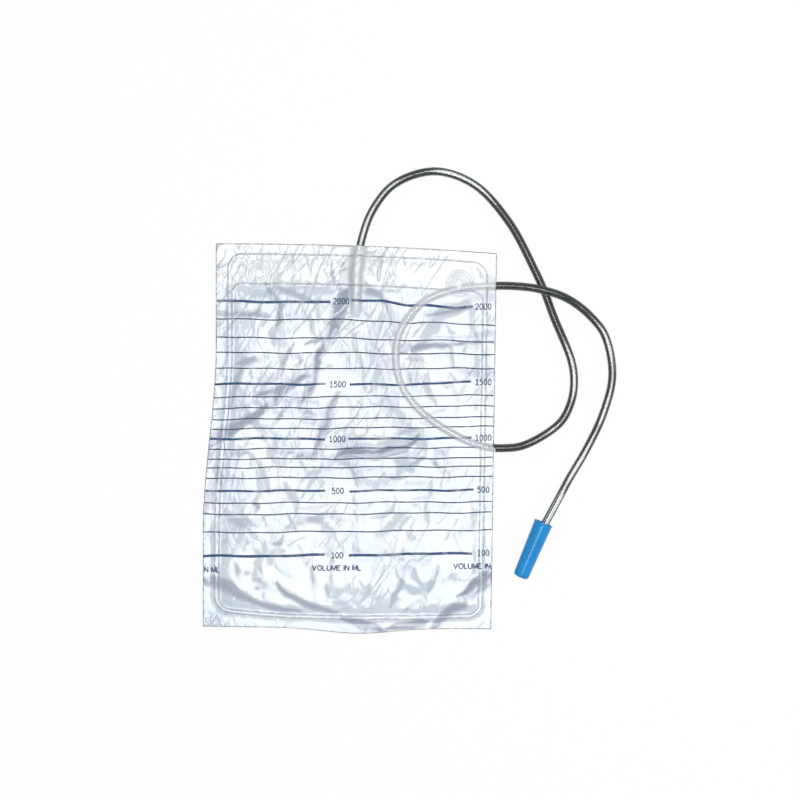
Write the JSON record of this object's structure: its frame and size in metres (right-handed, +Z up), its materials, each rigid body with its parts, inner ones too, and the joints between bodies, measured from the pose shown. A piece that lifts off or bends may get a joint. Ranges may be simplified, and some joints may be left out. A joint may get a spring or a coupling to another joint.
{
  "type": "urine drainage bag",
  "caption": "Empty two-litre drainage bag of clear and white film, lying flat, with a long clear tube whose stepped connector sits under a pull-off cap.",
  "frame": {"origin": "on the surface that the bag lies on, under the middle of the two sheets of film", "axes": "+Y towards the bag's top edge with the eyelets and the tube's inlet, +Z up out of the printed side, +X to the right as the print is read"},
  "size_m": [0.3365, 0.3796, 0.0158],
  "materials": {
    "clear_film": "glossy clear soft film, printed in dark blue",
    "white_film": "semi-gloss milky white soft film",
    "clear_tube": "glossy clear flexible tubing",
    "natural_plastic": "smooth natural moulded plastic",
    "blue_plastic": "smooth mid-blue moulded plastic, soft gloss"
  },
  "bodies": {
    "bag": {"front_film": "clear_film", "back_film": "white_film", "drainage_tube": "clear_tube", "tube_connector": "natural_plastic"},
    "cap": {"connector_cap": "blue_plastic"}
  },
  "joints": [
    {"name": "cap_pull", "type": "slide", "parent": "bag", "child": "cap", "axis": [-0.3891, -0.9212, 0], "range_m": [0, 0.05]}
  ]
}
